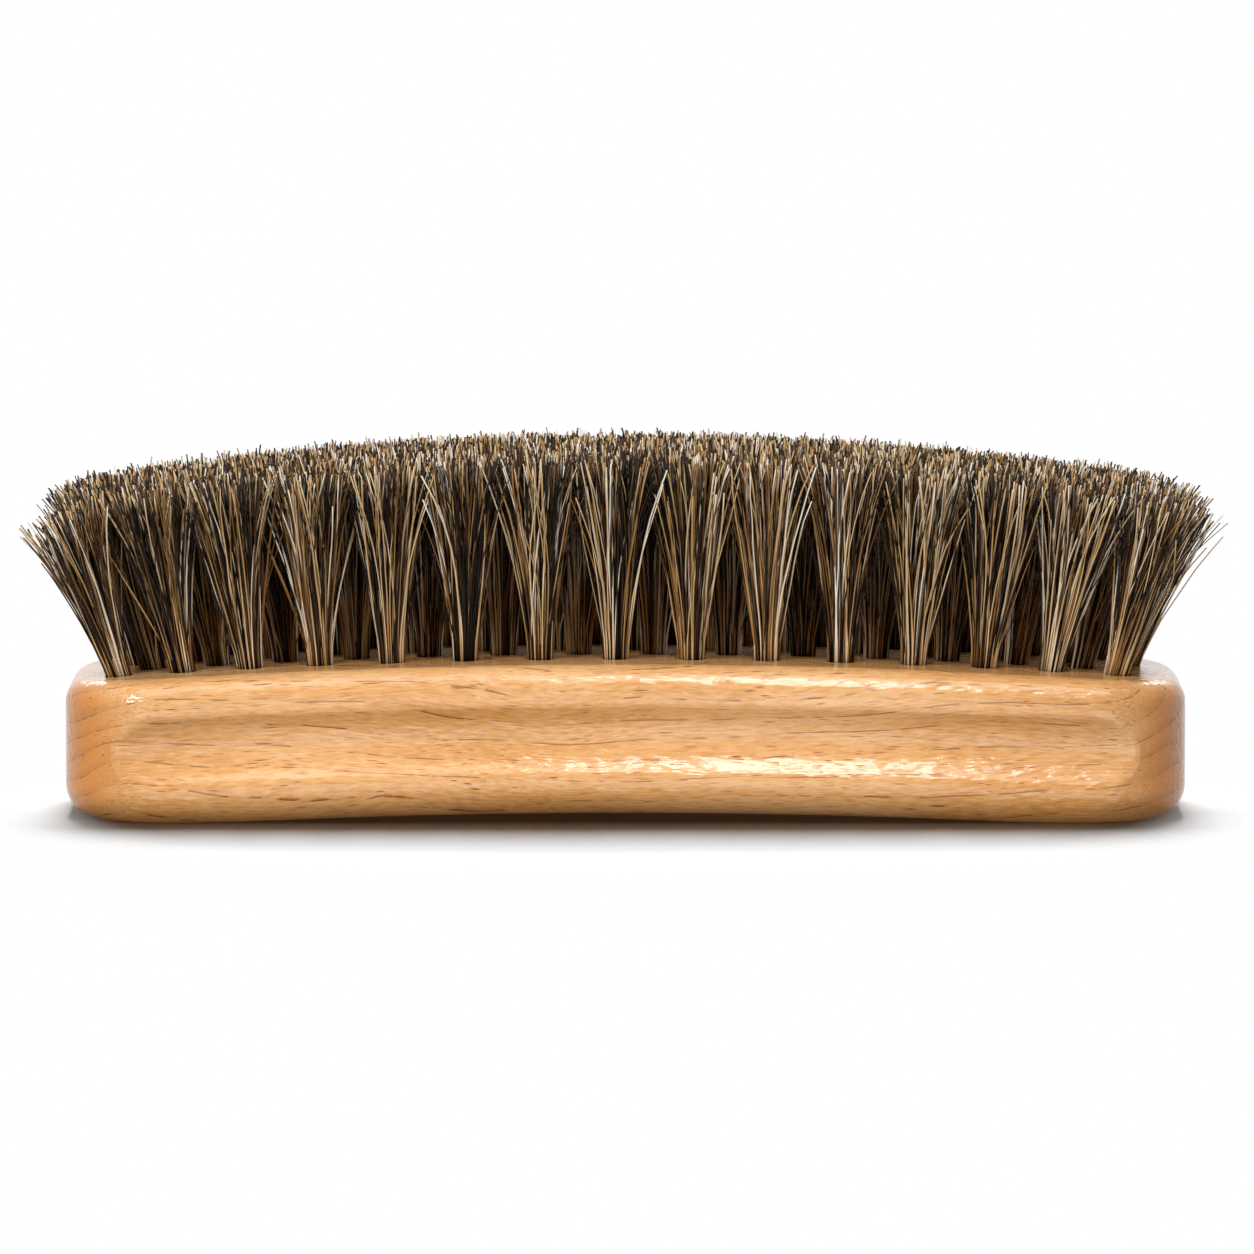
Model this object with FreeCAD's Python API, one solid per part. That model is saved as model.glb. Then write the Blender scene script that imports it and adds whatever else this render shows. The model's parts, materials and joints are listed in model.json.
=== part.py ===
import FreeCAD, Part
import math
import os

from FreeCAD import Vector

# Shoe shine brush, standing on its wooden back with the hair up.
# Millimetres and degrees, +Z up, +X along the block, -Y towards the front.
# The origin is under the middle of the block, on the surface that the brush stands on.

# Block: one piece of beech with an arched back and a crowned bristle face
block_length = 170.0
block_width = 50.0
block_height = 24.2
plan_corner_radius = 15.0
face_drop = 3.2
face_edge_radius = 3.7
back_rise = 1.5
back_edge_radius = 5.0
land_length = 12.0
arch_blend_share = 0.2

# Finger scoops: a long soft-lipped cove along each side of the block that runs out in its rounded corners
scoop_depth = 1.8
scoop_back_margin = 5.5
scoop_face_margin = 3.3
scoop_lip_radius = 3.0
scoop_lip_lift = 0.04
run_out_radius = 2.5

# Bored holes: staggered rows that crowd together and lean outwards towards the ends
# The rows are shifted along the block by shares of a step, so that each fills the gaps in the others
hole_diameter = 4.2
hole_depth = 12.0
row_names = ("front", "inner_front", "inner_back", "back")
long_row_steps = 14
side_margin = 12.4
end_margin = 9.4
row_shift_shares = (-0.125, -0.125, 0.125, 0.125)
crowding_share = 0.06
end_lean = 17.0
side_lean = 7.0

# Anchors: a strip of flat wire wedged across the bottom of each hole
anchor_thickness = 0.35
anchor_height = 1.6
fold_thickness = 1.0

# Tufts: hair folded under its anchor, straight in the hole and fanned out above it
hair_height = 32.5
trim_drop = 6.9
side_trim_drop = 1.5
hole_play = 0.1
neck_height = 1.0
tuft_gap = 0.7
end_flare = 4.2
side_flare = 4.2
lock_count = 6
lock_groove_share = 0.14
middle_height_share = 0.5
middle_flare_share = 0.4
cell_squareness = 2.6

# Cutting tools run this far past what they cut, and points closer than the match length are one
overrun = 2.0
match_length = 0.0001

half_length = block_length / 2
half_width = block_width / 2
row_count = len(row_names)
row_spacing = (block_width - 2 * side_margin) / (row_count - 1)
outer_row_y = half_width - side_margin
root_radius = hole_diameter / 2 - hole_play
end_slope = math.tan(math.radians(end_lean))
side_slope = math.tan(math.radians(side_lean))
X_AXIS = Vector(1, 0, 0)
Y_AXIS = Vector(0, 1, 0)
Z_AXIS = Vector(0, 0, 1)


def arc_radius(half_chord, rise):
    return (half_chord ** 2 + rise ** 2) / (2 * rise)


face_radius = arc_radius(half_length, face_drop)
face_centre_z = block_height - face_radius
trim_radius = arc_radius(half_length, trim_drop)
trim_centre_z = block_height + hair_height - trim_radius
tip_spread = 1 + hair_height * side_slope / outer_row_y

# The scoop's cove and lip meet at one slope, and its height is what the margins leave
scoop_height = block_height - face_drop - scoop_face_margin - scoop_back_margin
scoop_turn = 2 * math.atan(2 * scoop_depth / scoop_height)
scoop_radius = scoop_height / (2 * math.sin(scoop_turn)) - scoop_lip_radius

# The back rises from each standing land through a blend arc into one large arc
arch_span = half_length - back_edge_radius - land_length
arch_end = arch_span * (1 - arch_blend_share)
arch_turn = 2 * math.atan(back_rise / arch_span)
arch_radius = arch_end / math.sin(arch_turn)
arch_centre_z = back_rise - arch_radius
blend_radius = (arch_span - arch_end) / math.sin(arch_turn)


def face_z(x):
    return face_centre_z + math.sqrt(face_radius ** 2 - x ** 2)


def arch_z(x):
    return arch_centre_z + math.sqrt(arch_radius ** 2 - x ** 2)


def blend_z(x):
    return blend_radius - math.sqrt(blend_radius ** 2 - (arch_span - abs(x)) ** 2)


# Block

def profile_arc(height, x_from, x_to):
    stations = (x_from, (x_from + x_to) / 2, x_to)
    return Part.Arc(*[Vector(x, 0, height(x)) for x in stations]).toShape()


def profile_line(x_from, z_from, x_to, z_to):
    return Part.makeLine(Vector(x_from, 0, z_from), Vector(x_to, 0, z_to))


def side_profile():
    """The block's outline seen from the front, run past both ends."""
    end = half_length + overrun
    return Part.Wire([
        profile_line(-end, 0, -arch_span, 0),
        profile_arc(blend_z, -arch_span, -arch_end),
        profile_arc(arch_z, -arch_end, arch_end),
        profile_arc(blend_z, arch_end, arch_span),
        profile_line(arch_span, 0, end, 0),
        profile_line(end, 0, end, face_z(end)),
        profile_arc(face_z, end, -end),
        profile_line(-end, face_z(end), -end, 0),
    ])


def plan_prism():
    """The block's rounded plan as an upright prism, taller than the block."""
    corner = Vector(-half_length, -half_width, -overrun)
    prism = Part.makeBox(block_length, block_width, block_height + 2 * overrun, corner)
    uprights = [edge for edge in prism.Edges if edge.BoundBox.ZLength > block_height]
    return prism.makeFillet(plan_corner_radius, uprights)


def rim_edges(blank, on_rim):
    """Edges along the blank's walls whose ends and middle all lie on the wanted rim."""
    chosen = []
    for edge in blank.Edges:
        middle = edge.valueAt((edge.FirstParameter + edge.LastParameter) / 2)
        points = [vertex.Point for vertex in edge.Vertexes] + [middle]
        across = abs(middle.y) < match_length and abs(middle.x) < half_length - match_length
        if not across and all(on_rim(point) for point in points):
            chosen.append(edge)
    return chosen


def rounded_blank():
    """A profiled bar cut to the plan, with both rims rounded over."""
    profile = Part.Face(side_profile())
    profile.translate(Vector(0, -half_width - overrun, 0))
    bar = profile.extrude(Vector(0, block_width + 2 * overrun, 0))
    blank = bar.common(plan_prism())
    face_rim = rim_edges(blank, lambda point: abs(point.z - face_z(point.x)) < match_length)
    blank = blank.makeFillet(face_edge_radius, face_rim)
    back_rim = rim_edges(blank, lambda point: point.z < back_rise + match_length)
    return blank.makeFillet(back_edge_radius, back_rim)


def scoop_line(distances, heights):
    return Part.makeLine(*[Vector(0, distance, height) for distance, height in zip(distances, heights)])


def scoop_arc(centre_distance, centre_height, radius, turns):
    """An arc of the scoop's section, with turns measured from outwards to upwards."""
    points = []
    for turn in (turns[0], (turns[0] + turns[1]) / 2, turns[1]):
        distance = centre_distance + radius * math.cos(turn)
        points.append(Vector(0, distance, centre_height + radius * math.sin(turn)))
    return Part.Arc(*points).toShape()


def half_section():
    """Upper half of the scoop's section: cove and lip, drawn outwards from the block's middle plane.

    The lip ends flush with a plane held just off the wall, so that it meets the wall at a slight angle.
    """
    rim = half_width + scoop_lip_lift
    top = scoop_height / 2
    outside = rim + overrun
    cove_centre = rim - scoop_depth + scoop_radius
    cove = scoop_arc(cove_centre, 0, scoop_radius, (math.pi, math.pi - scoop_turn))
    lip = scoop_arc(rim - scoop_lip_radius, top, scoop_lip_radius, (-scoop_turn, 0))
    return Part.Face(Part.Wire([
        cove,
        lip,
        scoop_line((rim, outside), (top, top)),
        scoop_line((outside, outside), (top, 0)),
        scoop_line((outside, rim - scoop_depth), (0, 0)),
    ]))


def scoop_cutter():
    """The scoop's section run along the block, level with the arch of its back, and off both ends."""
    start = Vector(0, 0, back_rise + scoop_back_margin + scoop_height / 2)
    turning_centre = Vector(0, 0, arch_centre_z)
    half_turn = math.degrees(math.asin((half_length + overrun) / (start.z - arch_centre_z)))
    upper = half_section()
    lower = upper.mirror(Vector(), Z_AXIS)
    pieces = []
    for half in (upper, lower):
        half.translate(start)
        half.rotate(turning_centre, Y_AXIS, -half_turn)
        pieces.append(half.revolve(turning_centre, Y_AXIS, 2 * half_turn))
    return pieces


def run_out_edges(blank):
    """Edges at which the scoops run out in the rounded corners."""
    corner_x = half_length - plan_corner_radius
    floor_y = half_width - scoop_depth
    chosen = []
    for edge in blank.Edges:
        middle = edge.valueAt((edge.FirstParameter + edge.LastParameter) / 2)
        points = [vertex.Point for vertex in edge.Vertexes] + [middle]
        in_corner = abs(middle.x) > corner_x + match_length
        if in_corner and all(abs(point.y) > floor_y - match_length for point in points):
            chosen.append(edge)
    return chosen


def scooped(blank):
    """The blank with a finger scoop in each side, sanded round where it runs out."""
    back_cutter = scoop_cutter()
    front_cutter = [piece.mirror(Vector(), Y_AXIS) for piece in back_cutter]
    grooved = blank.cut(back_cutter + front_cutter)
    return grooved.makeFillet(run_out_radius, run_out_edges(grooved))


# Where the tufts stand

class Station:
    """One tuft's place: the mouth of its hole, its leaning axis, and where it is trimmed."""

    def __init__(self, row, step):
        self.row = row
        share = 2 * step / long_row_steps
        x = (half_length - end_margin) * ((1 + crowding_share) * share - crowding_share * share ** 3)
        y = row * row_spacing - outer_row_y
        self.mouth = Vector(x, y, face_z(x))
        self.axis = Vector(end_slope * share ** 3, side_slope * y / outer_row_y, 1).normalize()
        self.side_drop = side_trim_drop * (y / outer_row_y) ** 2
        self.tip = self.mouth + self.axis * self.trim_distance()
        trim_rise = self.tip.z - trim_centre_z
        side_fall = 2 * side_trim_drop * y / (outer_row_y ** 2 * tip_spread)
        self.trim_normal = Vector(self.tip.x, side_fall * trim_rise, trim_rise).normalize()
        self.tip_row_spacing = row_spacing * (1 + (self.tip.z - self.mouth.z) * side_slope / outer_row_y)

    def trim_distance(self):
        """Distance along the axis from the face to the crowned surface of the trimmed hair."""
        above = self.mouth.z - trim_centre_z
        square = self.axis.x ** 2 + self.axis.z ** 2
        half_linear = self.mouth.x * self.axis.x + above * self.axis.z
        constant = self.mouth.x ** 2 + above ** 2 - (trim_radius - self.side_drop) ** 2
        return (math.sqrt(half_linear ** 2 - square * constant) - half_linear) / square

    def placement(self):
        """Local Z along the axis and local X along the block, from the mouth of the hole."""
        turn = FreeCAD.Rotation(Y_AXIS.cross(self.axis), Vector(), self.axis, "ZXY")
        return FreeCAD.Placement(self.mouth, turn)


def row_stations(row):
    """Long and short rows take turns, the short ones at the half steps."""
    half = long_row_steps // 2
    steps = [step / 2 for step in range(-2 * half, 2 * half + 1)]
    return [Station(row, step + row_shift_shares[row]) for step in steps[row % 2::2]]


# Holes and anchors

def hole_cutter(station):
    cutter = Part.makeCylinder(hole_diameter / 2, hole_depth + overrun, Vector(0, 0, -hole_depth))
    cutter.Placement = station.placement()
    return cutter


def anchor(station):
    """A strip on edge whose corners bear on the wall of the hole, above the fold of the hair."""
    length = math.sqrt(hole_diameter ** 2 - anchor_thickness ** 2)
    corner = Vector(-length / 2, -anchor_thickness / 2, fold_thickness - hole_depth)
    strip = Part.makeBox(length, anchor_thickness, anchor_height, corner)
    strip.Placement = station.placement()
    return strip


# Tufts

def lock_ring(centre, normal, reaches, groove_share):
    """Corners of a rounded cell of hair, with a groove between each lock and the next."""
    east, west, north, south = reaches
    along = (X_AXIS - normal * X_AXIS.dot(normal)).normalize()
    across = normal.cross(along)
    corners = []
    for number in range(2 * lock_count):
        cosine = math.cos(math.pi * number / lock_count)
        sine = math.sin(math.pi * number / lock_count)
        part_x = abs(cosine) / (east if cosine > 0 else west)
        part_y = abs(sine) / (north if sine > 0 else south)
        reach = (part_x ** cell_squareness + part_y ** cell_squareness) ** (-1 / cell_squareness)
        if number % 2:
            reach *= 1 - groove_share
        corners.append(centre + along * (reach * cosine) + across * (reach * sine))
    return corners


def root_ring(centre, normal):
    along = (X_AXIS - normal * X_AXIS.dot(normal)).normalize()
    across = normal.cross(along)
    turns = [math.pi * number / lock_count for number in range(2 * lock_count)]
    return [centre + (along * math.cos(turn) + across * math.sin(turn)) * root_radius for turn in turns]


def flat_face(corners):
    return Part.Face(Part.makePolygon(corners + corners[:1]))


def skinned(rings):
    """A closed solid of flat facets through rings that have the same number of corners."""
    faces = [flat_face(rings[0]), flat_face(rings[-1])]
    for lower, upper in zip(rings, rings[1:]):
        for number in range(len(lower)):
            before = number - 1
            faces.append(flat_face([lower[before], lower[number], upper[number]]))
            faces.append(flat_face([lower[before], upper[number], upper[before]]))
    return Part.Solid(Part.Shell(faces))


def tuft(station, tip_before, tip_after, anchor_strip):
    """One tuft: straight root and neck, then a fan of locks trimmed to the crowned surface."""
    half_gap = tuft_gap / 2
    row_reach = station.tip_row_spacing / 2 - half_gap
    reaches = (
        end_flare if tip_after is None else (tip_after - station.tip.x) / 2 - half_gap,
        end_flare if tip_before is None else (station.tip.x - tip_before) / 2 - half_gap,
        side_flare if station.row == row_count - 1 else row_reach,
        side_flare if station.row == 0 else row_reach,
    )
    foot = station.mouth - station.axis * hole_depth
    neck = station.mouth + station.axis * neck_height
    middle = neck + (station.tip - neck) * middle_height_share
    middle_normal = (station.axis + station.trim_normal).normalize()
    middle_reaches = [root_radius + (reach - root_radius) * middle_flare_share for reach in reaches]
    body = skinned([
        root_ring(foot, station.axis),
        root_ring(neck, station.axis),
        lock_ring(middle, middle_normal, middle_reaches, lock_groove_share * middle_height_share),
        lock_ring(station.tip, station.trim_normal, reaches, lock_groove_share),
    ])
    return body.cut(anchor_strip)


def brush():
    """Every node of the brush by name."""
    nodes = {}
    anchors = []
    holes = []
    for row, row_name in enumerate(row_names):
        stations = row_stations(row)
        tips = [None] + [station.tip.x for station in stations] + [None]
        for number, station in enumerate(stations):
            strip = anchor(station)
            name = "%s_tuft_%02d" % (row_name, number + 1)
            nodes[name] = tuft(station, tips[number], tips[number + 2], strip)
            anchors.append(strip)
            holes.append(hole_cutter(station))
    nodes["block"] = scooped(rounded_blank()).cut(holes)
    nodes["tuft_anchors"] = Part.makeCompound(anchors)
    return nodes


os.makedirs("parts", exist_ok=True)
for node, shape in brush().items():
    shape.exportStep("parts/%s.step" % node)
    print(node, "valid" if shape.isValid() else "NOT VALID", len(shape.Solids), round(shape.Volume, 1))
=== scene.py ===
import json
import math

import bpy
import numpy as np
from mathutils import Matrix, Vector

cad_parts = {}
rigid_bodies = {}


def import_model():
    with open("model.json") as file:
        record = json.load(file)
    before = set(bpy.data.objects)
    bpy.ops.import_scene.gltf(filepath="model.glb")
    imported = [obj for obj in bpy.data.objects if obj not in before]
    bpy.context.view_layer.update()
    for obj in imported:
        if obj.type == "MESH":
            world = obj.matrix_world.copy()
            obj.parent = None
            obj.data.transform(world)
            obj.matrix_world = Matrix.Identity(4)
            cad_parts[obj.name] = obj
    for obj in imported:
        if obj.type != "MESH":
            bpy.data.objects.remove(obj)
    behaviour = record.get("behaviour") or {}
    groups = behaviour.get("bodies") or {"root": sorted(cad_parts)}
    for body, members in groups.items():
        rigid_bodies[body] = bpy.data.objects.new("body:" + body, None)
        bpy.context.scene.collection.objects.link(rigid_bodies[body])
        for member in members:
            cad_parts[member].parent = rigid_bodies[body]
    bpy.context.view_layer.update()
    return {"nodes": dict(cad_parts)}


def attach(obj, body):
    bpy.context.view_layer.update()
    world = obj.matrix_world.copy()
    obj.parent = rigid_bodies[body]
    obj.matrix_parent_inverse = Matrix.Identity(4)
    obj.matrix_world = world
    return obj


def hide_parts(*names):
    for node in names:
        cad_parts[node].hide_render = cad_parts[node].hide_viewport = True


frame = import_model()

# Block
# One piece of steamed beech, arched, crowned, scooped along both sides and bored for the tufts.
# It is sanded, sprayed with clear lacquer and buffed, so the grain shows through a thin gloss.

MM = 0.001


def linear(hex_colour):
    """An sRGB hex colour as linear red, green, blue and alpha."""
    shares = [int(hex_colour[place:place + 2], 16) / 255 for place in (1, 3, 5)]
    return [s / 12.92 if s <= 0.04045 else ((s + 0.055) / 1.055) ** 2.4 for s in shares] + [1.0]


def new_material(name):
    material = bpy.data.materials.new(name)
    material.use_nodes = True
    material.node_tree.nodes.clear()
    return material


def add(tree, kind, inputs=None, **settings):
    """Adds a node with its settings, and links or sets its inputs."""
    made = tree.nodes.new("ShaderNode" + kind)
    for name, value in settings.items():
        setattr(made, name, value)
    for name, value in (inputs or {}).items():
        if isinstance(value, bpy.types.NodeSocket):
            tree.links.new(value, made.inputs[name])
        else:
            made.inputs[name].default_value = value
    return made


def set_stops(ramp, stops):
    """Gives a colour ramp its stops, as pairs of place and sRGB hex colour."""
    elements = ramp.color_ramp.elements
    while len(elements) < len(stops):
        elements.new(1.0)
    for element, (place, hex_colour) in zip(elements, stops):
        element.position = place
        element.color = linear(hex_colour)


def beech_material():
    """Steamed beech under lacquer: a honey ground with short brown flecks, and a gloss broken by ripples.

    The fibres of real beech are far finer, and are drawn coarser here so that they show.
    """
    wander_mm = (45.0, 14.0, 14.0)
    wander_by_mm = 8.0
    cloud_mm = (40.0, 7.0, 7.0)
    fibre_mm = (2.4, 0.3, 0.3)
    fleck_mm = (6.5, 0.45, 0.45)
    streak_mm = (14.0, 0.8, 0.8)
    break_mm = (5.0, 1.2, 1.2)
    ripple_mm = (4.0, 1.0, 1.0)
    ring_mm = 3.4
    pith_mm = (0.0, 17.0, -58.0)
    pith_slant = math.radians(12.8)
    grain_tilt = math.radians(1.2)
    grain_turn = math.radians(-1.6)
    relief_mm = 0.22
    pore_dip = 0.6
    filled_pore_dip = 0.5
    # The wave texture turns through this many radians in each unit of distance
    wave_radians = 20.0
    material = new_material("lacquered_beech")
    tree = material.node_tree
    place = add(tree, "TexCoord")
    grain = add(tree, "Mapping", {
        "Vector": place.outputs["Object"],
        "Rotation": (0.0, grain_tilt, grain_turn),
        "Scale": (1 / MM, 1 / MM, 1 / MM),
    })

    def counted(coordinates, pattern_mm):
        """Places counted in pattern lengths, along and across the fibres."""
        scale = [1 / length for length in pattern_mm]
        return add(tree, "Mapping", {"Vector": coordinates, "Scale": scale}).outputs[0]

    def between(value, start, full):
        """How far a value has come from its start to its full mark, from nothing to one."""
        return add(tree, "MapRange", {"Value": value, "From Min": start, "From Max": full}).outputs[0]

    def product(first, second):
        return add(tree, "Math", {0: first, 1: second}, operation="MULTIPLY").outputs[0]

    wander = add(tree, "TexNoise", {
        "Vector": counted(grain.outputs[0], wander_mm), "Scale": 1.0, "Detail": 1.0,
    })
    wavy = add(tree, "VectorMath", {
        0: wander.outputs["Color"], 1: (0.0, wander_by_mm, wander_by_mm), 2: grain.outputs[0],
    }, operation="MULTIPLY_ADD").outputs[0]
    cloud = add(tree, "TexNoise", {"Vector": counted(wavy, cloud_mm), "Scale": 1.0, "Detail": 3.0})
    fibre = add(tree, "TexNoise", {"Vector": counted(wavy, fibre_mm), "Scale": 1.0, "Detail": 3.0})

    def dashes(pattern_mm, reach, share):
        """Scattered ragged spindles along the fibres, from nothing to one, in a share of the cells."""
        raggedness = 0.5
        rim_share = 0.75
        core_share = 0.3
        strong_share = 0.3
        cells = add(tree, "TexVoronoi", {"Vector": counted(wavy, pattern_mm), "Scale": 1.0})
        ragged = add(tree, "Math", {
            0: fibre.outputs[0], 1: -raggedness * reach, 2: cells.outputs["Distance"],
        }, operation="MULTIPLY_ADD")
        spindle = between(ragged.outputs[0], rim_share * reach, core_share * reach)
        chosen = add(tree, "SeparateColor", {"Color": cells.outputs["Color"]})
        strength = between(chosen.outputs[0], share, strong_share * share)
        return product(spindle, strength)

    def tinted(colour, amount, most, hex_colour):
        """The colour so far, taken towards a tint by at most that much."""
        mixed = add(tree, "MixRGB", {
            "Fac": product(amount, most), "Color1": colour, "Color2": linear(hex_colour),
        })
        return mixed.outputs[0]

    pith = add(tree, "Mapping", {
        "Vector": wavy, "Location": pith_mm, "Rotation": (0.0, 0.0, pith_slant),
    })
    ring = add(tree, "TexWave", {
        "Vector": pith.outputs[0], "Scale": 2 * math.pi / (wave_radians * ring_mm),
        "Distortion": 1.2, "Detail Scale": 0.6,
    }, wave_type="RINGS", rings_direction="X", wave_profile="SAW")
    facing = add(tree, "SeparateXYZ", {0: place.outputs["Normal"]})
    end_grain = add(tree, "MapRange", {
        "Value": product(facing.outputs["X"], facing.outputs["X"]), "From Min": 0.02, "From Max": 0.6,
    }, interpolation_type="SMOOTHSTEP").outputs[0]
    late_wood = between(ring.outputs["Fac"], start=0.5, full=1.0)
    end_rings = product(late_wood, end_grain)
    pale_fibre = between(fibre.outputs[0], start=0.5, full=0.72)
    deep_fibre = between(fibre.outputs[0], start=0.5, full=0.28)
    fleck = dashes(fleck_mm, reach=0.21, share=1.0)
    streak = dashes(streak_mm, reach=0.15, share=0.9)
    ring_edge = between(ring.outputs["Fac"], start=0.92, full=0.98)
    break_noise = add(tree, "TexNoise", {"Vector": counted(wavy, break_mm), "Scale": 1.0, "Detail": 2.0})
    unbroken = between(break_noise.outputs[0], start=0.5, full=0.56)
    trail = product(ring_edge, unbroken)

    ground = add(tree, "ValToRGB", {"Fac": cloud.outputs[0]})
    set_stops(ground, [(0.3, "#D99B56"), (0.5, "#E3A867"), (0.7, "#EBB67B")])
    colour = tinted(ground.outputs[0], late_wood, 0.14, "#B06C2C")
    colour = tinted(colour, pale_fibre, 0.5, "#F0C592")
    colour = tinted(colour, deep_fibre, 0.5, "#B97632")
    colour = tinted(colour, end_grain, 0.9, "#E48C24")
    colour = tinted(colour, end_rings, 0.4, "#A86628")
    colour = tinted(colour, fleck, 0.8, "#94541E")
    colour = tinted(colour, streak, 0.95, "#74400F")
    colour = tinted(colour, trail, 0.85, "#824A1A")

    pores = add(tree, "Math", {0: fleck, 1: streak}, operation="ADD").outputs[0]
    relief = add(tree, "Math", {0: pores, 1: -pore_dip, 2: fibre.outputs[0]}, operation="MULTIPLY_ADD")
    wood_bump = add(tree, "Bump", {
        "Height": relief.outputs[0], "Strength": 0.25, "Distance": relief_mm * MM,
    })
    # The lacquer levels out the fibres, so its gloss is broken by its own ripples and by the pores
    ripple = add(tree, "TexNoise", {"Vector": counted(wavy, ripple_mm), "Scale": 1.0, "Detail": 1.5})
    level = add(tree, "Math", {
        0: pores, 1: -filled_pore_dip, 2: ripple.outputs[0],
    }, operation="MULTIPLY_ADD")
    coat_bump = add(tree, "Bump", {
        "Height": level.outputs[0], "Strength": 0.8, "Distance": relief_mm * MM,
    })
    shader = add(tree, "BsdfPrincipled", {
        "Base Color": colour, "Roughness": 0.5, "IOR": 1.5, "Specular IOR Level": 0.1,
        "Normal": wood_bump.outputs[0],
        "Coat Weight": 0.9, "Coat Roughness": 0.11, "Coat IOR": 1.5, "Coat Normal": coat_bump.outputs[0],
    })
    add(tree, "OutputMaterial", {"Surface": shader.outputs[0]})
    return material


frame["nodes"]["block"].data.materials.clear()
frame["nodes"]["block"].data.materials.append(beech_material())

# Tuft anchors
# Strips of flat steel wire, each driven to the bottom of its hole across the folded hair.
# The wire is drawn and rolled, and comes dull from the coil.


def wire_material():
    """Drawn steel wire: a dull grey metal with streaks along its length."""
    streak_mm = (3.0, 0.12, 0.12)
    material = new_material("drawn_steel_wire")
    tree = material.node_tree
    place = add(tree, "TexCoord")
    counted = add(tree, "Mapping", {
        "Vector": place.outputs["Object"], "Scale": [1 / (length * MM) for length in streak_mm],
    })
    drawn = add(tree, "TexNoise", {"Vector": counted.outputs[0], "Scale": 1.0, "Detail": 2.0})
    tone = add(tree, "ValToRGB", {"Fac": drawn.outputs[0]})
    set_stops(tone, [(0.3, "#8C8C8A"), (0.7, "#B9B9B6")])
    shader = add(tree, "BsdfPrincipled", {
        "Base Color": tone.outputs[0], "Metallic": 1.0, "Roughness": 0.38,
    })
    add(tree, "OutputMaterial", {"Surface": shader.outputs[0]})
    return material


frame["nodes"]["tuft_anchors"].data.materials.clear()
frame["nodes"]["tuft_anchors"].data.materials.append(wire_material())

# Tufts
# Bundles of natural horsehair, folded under their anchors and trimmed together to a crowned top.
# The hairs are of every shade from black to grey, a little crooked, and fan out above the wood.
# They are drawn fewer and thicker than real ones, so that each one shows.

hair_count = 250
hair_steps = 8
hair_sides = 3
hair_thickness = (0.18 * MM, 0.28 * MM, 0.44 * MM)
tip_taper = 0.2
root_depth = 2.0 * MM
ring_corners = 12
corner_decimals = 3
fan_power = 0.98
fan_spread = 1.04
lock_count = 16
lock_pull = 0.4
end_scatter = 0.08
end_fall = 0.75
end_fall_from = 83.5 * MM
crook_least = 0.022
crook_more = 0.085
crook_rarity = 3
bend_most = 5.0 * MM
uneven_trim = 0.5 * MM
short_share = 0.10
short_most = 6.0 * MM
proud_share = 0.05
proud_most = 1.5 * MM
stray_share = 0.07
stray_spread = 1.3
stray_scatter = 0.5
stray_most = 1.4
tone_shares = (0.38, 0.21, 0.29, 0.12)
tone_middles = (0.12, 0.46, 0.74, 0.93)
tone_scatter = 0.06
lock_tone_scatter = 0.14
fade_scatter = 0.09
draw = np.random.default_rng(7)


def horsehair_material():
    """Natural horsehair: a dry, slightly glossy fibre whose tone is its own from root to tip."""
    material = new_material("natural_horsehair")
    tree = material.node_tree
    tone = add(tree, "Attribute", attribute_name="tone")
    colour = add(tree, "ValToRGB", {"Fac": tone.outputs["Fac"]})
    set_stops(colour, [
        (0.0, "#090503"), (0.2, "#1A1008"), (0.38, "#472E18"), (0.52, "#7E5A31"),
        (0.64, "#A68252"), (0.76, "#BE9D70"), (0.88, "#D0B993"), (1.0, "#DED4C4"),
    ])
    shader = add(tree, "BsdfPrincipled", {
        "Base Color": colour.outputs[0], "Roughness": 0.45, "IOR": 1.55, "Specular IOR Level": 0.18,
    })
    add(tree, "OutputMaterial", {"Surface": shader.outputs[0]})
    return material


def unit(vector):
    return vector / np.linalg.norm(vector)


class TuftForm:
    """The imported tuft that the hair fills: its axis, root and trimmed end, read from its solid."""

    def __init__(self, node):
        corners = np.array([vertex.co for vertex in frame["nodes"][node].data.vertices])
        corners = np.unique(np.round(corners / MM, corner_decimals), axis=0) * MM
        corners = corners[np.argsort(-corners[:, 2])]
        # From the top down: the ring of the tip, of the middle and of the neck, and then the foot
        tip = corners[:ring_corners]
        neck = corners[2 * ring_corners:3 * ring_corners]
        foot = corners[3 * ring_corners:]
        self.neck = neck.mean(0)
        self.axis = unit(self.neck - foot.mean(0))
        self.along = unit(np.array((1.0, 0.0, 0.0)) - self.axis * self.axis[0])
        self.across = np.cross(self.axis, self.along)
        self.root_radius = np.linalg.norm(neck - self.neck, axis=1).mean()
        self.height = (tip.mean(0) - self.neck) @ self.axis
        out = tip - self.neck - self.axis * self.height
        self.ring = np.stack((out @ self.along, out @ self.across), axis=1)
        self.tilt = np.linalg.lstsq(self.ring, out @ self.axis, rcond=None)[0]

    def reach(self, turns):
        """How far the trimmed end reaches from the axis in each direction."""
        ring_turns = np.arctan2(self.ring[:, 1], self.ring[:, 0])
        order = np.argsort(ring_turns)
        return np.interp(turns, ring_turns[order], np.hypot(*self.ring[order].T), period=2 * math.pi)


def disc_places(count):
    """Places spread evenly over a unit disc."""
    turns = draw.random(count) * 2 * math.pi
    return np.sqrt(draw.random(count))[:, None] * np.stack((np.cos(turns), np.sin(turns)), axis=1)


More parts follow.
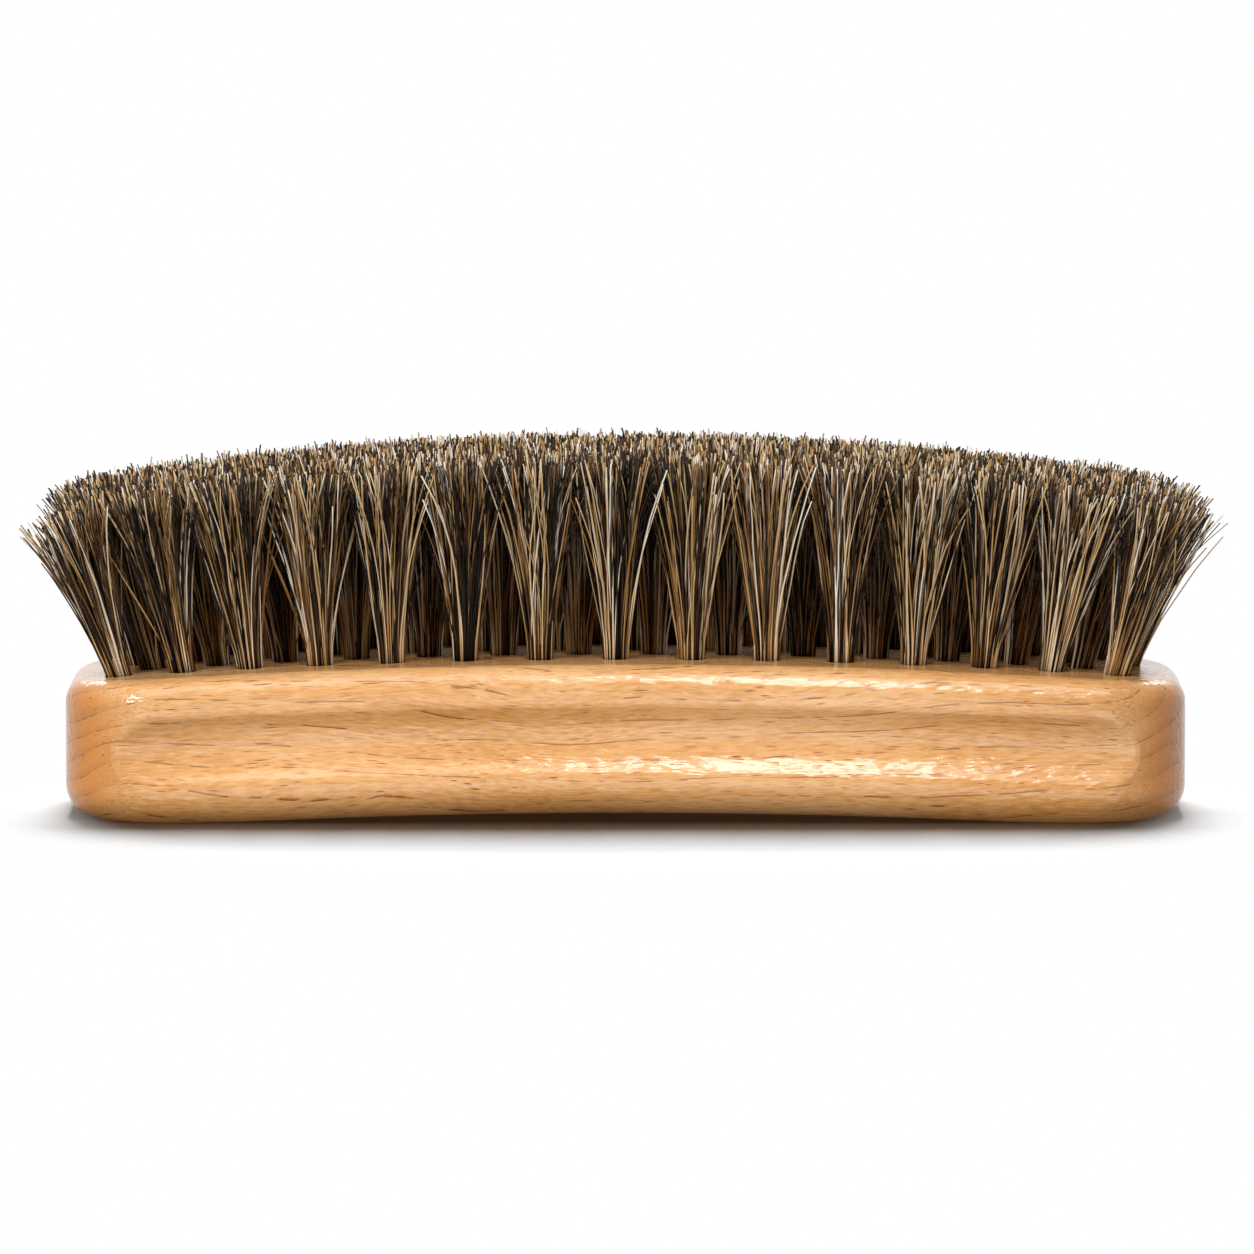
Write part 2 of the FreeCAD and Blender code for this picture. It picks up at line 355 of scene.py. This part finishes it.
def hair_paths(form):
    """Centre lines of a tuft's hairs, and the lock that each hair lies in."""
    roots = disc_places(hair_count)
    locks = disc_places(lock_count)
    lock = np.argmin(((roots[:, None] - locks[None]) ** 2).sum(2), axis=1)
    pull = lock_pull * draw.random(hair_count)[:, None]
    ends = roots + (locks[lock] - roots) * pull + draw.normal(0, end_scatter, (hair_count, 2))
    stray = draw.random(hair_count) < stray_share
    strayed = ends * stray_spread + draw.normal(0, stray_scatter, (hair_count, 2))
    ends = np.where(stray[:, None], strayed, ends)
    ends = ends * np.minimum(1, stray_most / np.linalg.norm(ends, axis=1))[:, None]
    end_turns = np.arctan2(ends[:, 1], ends[:, 0])
    ends = ends * (form.reach(end_turns) * fan_spread)[:, None]
    roots = roots * (form.root_radius - hair_thickness[2] / 2)

    trim = draw.normal(0, uneven_trim, hair_count)
    short = draw.random(hair_count) < short_share
    proud = draw.random(hair_count) < proud_share
    trim = np.where(short, -short_most * draw.random(hair_count), trim)
    trim = np.where(proud, proud_most * draw.random(hair_count), trim)
    trim = np.where(stray, -short_most * draw.random(hair_count), trim)
    end_x = form.neck[0] + form.axis[0] * form.height + ends @ (form.along[0], form.across[0])
    fall = end_fall * np.maximum(0, np.abs(end_x) - end_fall_from)
    length = form.height + ends @ form.tilt + trim - fall

    share = np.linspace(0, 1, hair_steps + 1)
    rise = -root_depth + (length + root_depth)[:, None] * share
    above = np.clip(rise / length[:, None], 0, 1)
    fan = above ** fan_power
    crook = crook_least + crook_more * draw.random(hair_count) ** crook_rarity
    turns = np.cumsum(draw.normal(0, 1, (hair_count, hair_steps + 1, 2)), axis=1) * crook[:, None, None]
    bend = np.cumsum(turns, axis=1) * (form.height / hair_steps) * above[:, :, None]
    farthest = np.linalg.norm(bend, axis=2).max(1)
    bend = bend * np.minimum(1, bend_most / farthest)[:, None, None]
    flat = roots[:, None] + (ends - roots)[:, None] * fan[:, :, None] + bend
    paths = form.neck + rise[:, :, None] * form.axis
    paths = paths + flat[:, :, :1] * form.along + flat[:, :, 1:] * form.across
    return paths, lock


def hair_tones(lock):
    """Each hair's tone at every step: dark, brown, tan or grey, leaning towards the tone of its lock."""
    kinds = draw.choice(len(tone_shares), hair_count, p=tone_shares)
    middles = np.array(tone_middles)[kinds]
    lean = draw.normal(0, lock_tone_scatter, lock_count)[lock]
    fade = draw.normal(0, fade_scatter, hair_count)[:, None] * np.linspace(-1, 1, hair_steps + 1)
    tones = (middles + lean + draw.normal(0, tone_scatter, hair_count))[:, None] + fade
    return np.clip(tones, 0, 1)


def tuft_mesh(name, form):
    """One mesh of closed tubes, one for each hair, with its tone and a strip of the map to itself."""
    paths, lock = hair_paths(form)
    tones = hair_tones(lock)
    order = np.argsort(tones.mean(1))
    paths = paths[order]
    tones = tones[order]
    rings = hair_steps + 1
    first_turns = draw.random(hair_count)[:, None] * 2 * math.pi
    turns = first_turns + np.arange(hair_sides) * 2 * math.pi / hair_sides
    thickness = draw.triangular(*hair_thickness, hair_count)[:, None]
    radius = thickness / 2 * (1 - tip_taper * np.linspace(0, 1, rings))
    sideways = np.cos(turns)[:, :, None] * form.along + np.sin(turns)[:, :, None] * form.across
    points = paths[:, :, None] + radius[:, :, None, None] * sideways[:, None]

    hair = np.arange(hair_count)[:, None, None] * rings * hair_sides
    ring = np.arange(hair_steps)[None, :, None] * hair_sides
    side = np.arange(hair_sides)[None, None, :]
    after = (side + 1) % hair_sides
    lower = hair + ring
    upper = lower + hair_sides
    walls = np.stack((lower + side, lower + after, upper + after, upper + side), axis=-1).reshape(-1, 4)
    starts = hair[:, 0] + np.arange(hair_sides)[::-1]
    ends = hair[:, 0] + hair_steps * hair_sides + np.arange(hair_sides)
    mesh = bpy.data.meshes.new(name)
    faces = walls.tolist() + starts.tolist() + ends.tolist()
    mesh.from_pydata(points.reshape(-1, 3).tolist(), [], faces)
    mesh.shade_smooth()
    mesh.attributes.new("tone", "FLOAT", "POINT").data.foreach_set(
        "value", np.repeat(tones, hair_sides, axis=1).ravel().astype(np.float32))

    strip = np.repeat(np.arange(hair_count), hair_steps * hair_sides)
    step = np.tile(np.repeat(np.arange(hair_steps), hair_sides), hair_count)
    wall_map = np.stack([
        np.stack((strip + right, (step + up) / hair_steps * hair_count), axis=1)
        for right, up in ((0, 0), (1, 0), (1, 1), (0, 1))
    ], axis=1).reshape(-1, 2) / hair_count
    cap_share = 0.5 / hair_steps
    caps = []
    for edge, inner in ((0.0, cap_share), (1.0, 1 - cap_share)):
        left = np.arange(hair_count) / hair_count
        corners = [(left, edge), (left + 1 / hair_count, edge), (left + 0.5 / hair_count, inner)]
        corner_maps = [np.stack((u, np.full(hair_count, v)), axis=1) for u, v in corners]
        caps.append(np.stack(corner_maps, axis=1).reshape(-1, 2))
    mesh.uv_layers.new(name="OFBake").data.foreach_set(
        "uv", np.concatenate([wall_map] + caps).ravel().astype(np.float32))
    return mesh


horsehair = horsehair_material()
for node in sorted(name for name in frame["nodes"] if "_tuft_" in name):
    hair_name = node.replace("_tuft_", "_hair_")
    tuft = bpy.data.objects.new(hair_name, tuft_mesh(hair_name, TuftForm(node)))
    tuft.data.materials.append(horsehair)
    bpy.context.scene.collection.objects.link(tuft)
    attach(tuft, "root")
    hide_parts(node)

# Floor, light and camera
# A white studio sweep: the floor keeps the soft shadow of the brush and fades into the white around it.
# Softboxes and panels in front and behind light the wood and the hair, and a low one the foot of the block.
# One high up behind the brush lights the floor, and the white surroundings fill in.

scene = bpy.context.scene
scene.view_settings.view_transform = "Standard"
floor_size = 1.2
floor_reach = (1.06, 1.0, 1.0)
fade_from = 74.0 * MM
fade_to = 96.0 * MM


def seen_directly(tree):
    """One for rays from the camera, and for those seen in gloss or through glass."""
    path = add(tree, "LightPath")
    gloss = add(tree, "Math", {
        0: path.outputs["Is Camera Ray"], 1: path.outputs["Is Glossy Ray"],
    }, operation="MAXIMUM")
    return add(tree, "Math", {
        0: gloss.outputs[0], 1: path.outputs["Is Transmission Ray"],
    }, operation="MAXIMUM").outputs[0]


def floor_material():
    """Matt paper, lit to white, that lets the white surroundings through further out."""
    material = new_material("white_paper")
    tree = material.node_tree
    place = add(tree, "TexCoord")
    stretched = add(tree, "VectorMath", {0: place.outputs["Object"], 1: floor_reach}, operation="DIVIDE")
    distance = add(tree, "VectorMath", {0: stretched.outputs[0]}, operation="LENGTH")
    fade = add(tree, "MapRange", {
        "Value": distance.outputs["Value"], "From Min": fade_from, "From Max": fade_to,
    }, interpolation_type="SMOOTHSTEP")
    paper = add(tree, "BsdfDiffuse", {"Color": linear("#B4B4B4")})
    clear = add(tree, "BsdfTransparent")
    mixed = add(tree, "MixShader", {0: fade.outputs[0], 1: paper.outputs[0], 2: clear.outputs[0]})
    add(tree, "OutputMaterial", {"Surface": mixed.outputs[0]})
    return material


bpy.ops.mesh.primitive_plane_add(size=floor_size)
floor = bpy.context.object
floor.name = "floor"
floor.data.materials.append(floor_material())

world = bpy.data.worlds.new("white_surroundings")
world.use_nodes = True
world.node_tree.nodes.clear()
scene.world = world
fill_level = 0.055
shown = add(world.node_tree, "Background", {"Color": linear("#FFFFFF"), "Strength": 1.0})
fill = add(world.node_tree, "Background", {"Color": linear("#FFFFFF"), "Strength": fill_level})
around = add(world.node_tree, "MixShader", {
    0: seen_directly(world.node_tree), 1: fill.outputs[0], 2: shown.outputs[0],
})
add(world.node_tree, "OutputWorld", {"Surface": around.outputs[0]})

block_alone = bpy.data.collections.new("block_alone")
hair_alone = bpy.data.collections.new("hair_alone")
floor_alone = bpy.data.collections.new("floor_alone")
block_alone.objects.link(frame["nodes"]["block"])
floor_alone.objects.link(floor)
for piece in scene.objects:
    if "_hair_" in piece.name:
        hair_alone.objects.link(piece)


def softbox(name, lit, width, height, brightness, azimuth, elevation, distance):
    """A rectangular light aimed at the brush, of the given radiance, that lights one collection alone."""
    light = bpy.data.lights.new(name, "AREA")
    light.shape = "RECTANGLE"
    light.size = width
    light.size_y = height
    light.energy = brightness * math.pi * width * height
    lamp = bpy.data.objects.new(name, light)
    turn = math.radians(azimuth)
    lift = math.radians(elevation)
    back = Vector((math.sin(turn) * math.cos(lift), -math.cos(turn) * math.cos(lift), math.sin(lift)))
    lamp.location = back * distance
    lamp.rotation_mode = "QUATERNION"
    lamp.rotation_quaternion = back.to_track_quat("Z", "Y")
    lamp.visible_camera = False
    lamp.light_linking.receiver_collection = lit
    # From below the floor, only what is lit stands in the way
    if elevation < 0:
        lamp.light_linking.blocker_collection = lit
    scene.collection.objects.link(lamp)


softbox("floor_softbox", floor_alone, width=0.5, height=0.75, brightness=46.0,
        azimuth=180, elevation=66, distance=1.4)
softbox("front_softbox", block_alone, width=0.08, height=0.4, brightness=13.0,
        azimuth=4.8, elevation=46, distance=0.8)
softbox("front_panel", block_alone, width=1.0, height=0.5, brightness=3.0,
        azimuth=0, elevation=62, distance=1.0)
softbox("low_panel", block_alone, width=1.6, height=0.5, brightness=1.8,
        azimuth=0, elevation=-13, distance=1.2)
softbox("left_softbox", block_alone, width=0.22, height=0.22, brightness=27.0,
        azimuth=-42, elevation=30, distance=1.0)
softbox("back_panel", block_alone, width=1.4, height=0.6, brightness=3.8,
        azimuth=180, elevation=35, distance=1.5)
softbox("left_hair_softbox", hair_alone, width=0.3, height=0.4, brightness=28.0,
        azimuth=-36, elevation=27, distance=1.1)
softbox("right_hair_softbox", hair_alone, width=0.3, height=0.4, brightness=21.0,
        azimuth=36, elevation=27, distance=1.1)
softbox("back_hair_panel", hair_alone, width=1.4, height=0.6, brightness=2.8,
        azimuth=180, elevation=35, distance=1.5)

camera_elevation = math.radians(5.3)
camera_distance = 1.8
view_width = 191.4 * MM
aim = Vector((0.23 * MM, 0, 27.84 * MM))
camera_data = bpy.data.cameras.new("camera")
camera_data.sensor_width = 36.0
camera_data.lens = camera_data.sensor_width * camera_distance / view_width
camera = bpy.data.objects.new("camera", camera_data)
camera_back = Vector((0, -math.cos(camera_elevation), math.sin(camera_elevation)))
camera.location = aim + camera_back * camera_distance
camera.rotation_mode = "QUATERNION"
camera.rotation_quaternion = camera_back.to_track_quat("Z", "Y")
scene.collection.objects.link(camera)
scene.camera = camera
